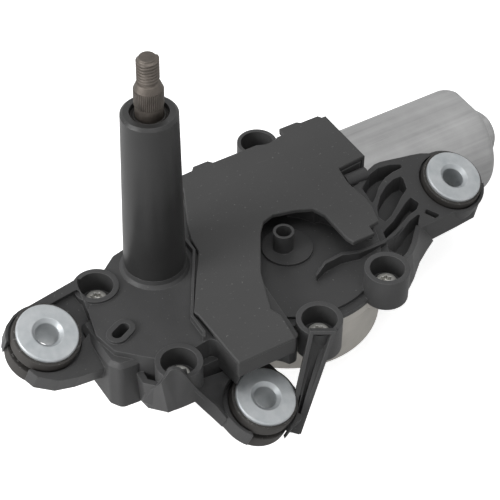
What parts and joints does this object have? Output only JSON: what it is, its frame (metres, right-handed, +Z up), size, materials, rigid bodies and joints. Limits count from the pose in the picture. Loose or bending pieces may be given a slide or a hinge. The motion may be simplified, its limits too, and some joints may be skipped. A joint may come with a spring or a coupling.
{
  "type": "wiper motor",
  "caption": "Rear wiper motor with a round tower and threaded output spindle, a long motor can, a moulded housing with a lid, and rubber-mounted eyes on arms.",
  "frame": {"origin": "on the output shaft's axis at the top of the housing's deck, where the tower stands", "axes": "+Z up the output shaft, +X from the output shaft towards the motor can"},
  "size_m": [0.2394, 0.1286, 0.1504],
  "materials": {
    "black_plastic": "fine-grained glass-filled moulding",
    "brush_plastic": "moulded",
    "can_steel": "drawn and plated",
    "carbon": "pressed",
    "cast_metal": "die cast, blasted",
    "copper_wire": "enamelled",
    "core_steel": "stacked sheets",
    "cover_plastic": "fine-grained moulding, a shade lighter",
    "ferrite": "sintered",
    "linkage_steel": "machined",
    "membrane": "woven",
    "mount_rubber": "moulded, matt",
    "seal_rubber": "moulded, matt",
    "sintered_bronze": "sintered",
    "spindle_steel": "phosphated",
    "terminal_tin": "tin plated",
    "wheel_plastic": "natural moulding",
    "zinc_screw": "zinc plated",
    "zinc_sleeve": "bright zinc plated"
  },
  "bodies": {
    "casing": {"brush_holder": "brush_plastic", "brush_springs": "linkage_steel", "can_bearing": "sintered_bronze", "can_screws": "zinc_screw", "carbon_brushes": "carbon", "connector_terminals": "terminal_tin", "cover_plate": "cover_plastic", "front_mount_grommet": "mount_rubber", "front_mount_sleeve": "zinc_sleeve", "gear_housing": "cast_metal", "housing_screws": "zinc_screw", "left_mount_grommet": "mount_rubber", "left_mount_sleeve": "zinc_sleeve", "lower_bush": "sintered_bronze", "magnets": "ferrite", "motor_can": "can_steel", "right_mount_grommet": "mount_rubber", "right_mount_sleeve": "zinc_sleeve", "shaft_seal": "seal_rubber", "thrust_washer": "linkage_steel", "tower": "black_plastic", "upper_bush": "sintered_bronze", "upper_housing": "black_plastic", "vent_membrane": "membrane", "wheel_axle": "linkage_steel", "worm_bearing": "sintered_bronze", "worm_end_bearing": "sintered_bronze"},
    "armature": {"armature_shaft": "linkage_steel", "armature_core": "core_steel", "armature_windings": "copper_wire", "commutator": "copper_wire"},
    "wheel": {"worm_wheel": "wheel_plastic"},
    "link": {"guide_link": "linkage_steel"},
    "rod": {"toothed_rod": "linkage_steel", "crank_pin": "linkage_steel", "link_pin": "linkage_steel"},
    "output": {"output_shaft": "spindle_steel", "output_pinion": "spindle_steel", "retaining_ring": "linkage_steel"}
  },
  "joints": [
    {"name": "armature_spin", "type": "hinge", "parent": "casing", "child": "armature", "pos_m": [0.1, 0.026, -0.0305], "axis": [1, 0, 0], "continuous": true},
    {"name": "wheel_spin", "type": "hinge", "parent": "casing", "child": "wheel", "pos_m": [0.0515, -0.01, -0.0305], "axis": [0, 0, 1], "continuous": true},
    {"name": "output_swing", "type": "hinge", "parent": "casing", "child": "output", "pos_m": [0, 0, 0], "axis": [0, 0, 1], "range_deg": [0, 122.14]},
    {"name": "link_swing", "type": "hinge", "parent": "casing", "child": "link", "pos_m": [0, 0, 0], "axis": [0, 0, 1], "range_deg": [0, 35.7]},
    {"name": "rod_swing", "type": "hinge", "parent": "link", "child": "rod", "pos_m": [0.00693, -0.0279, -0.0226], "axis": [0, 0, 1], "range_deg": [-55.7, 0]}
  ],
  "couplings": [
    {"joint": "wheel_spin", "follows": "armature_spin", "ratio": 0.015873},
    {"joint": "link_swing", "follows": "output_swing", "ratio": 0.29169},
    {"joint": "rod_swing", "follows": "output_swing", "ratio": -0.45534}
  ]
}
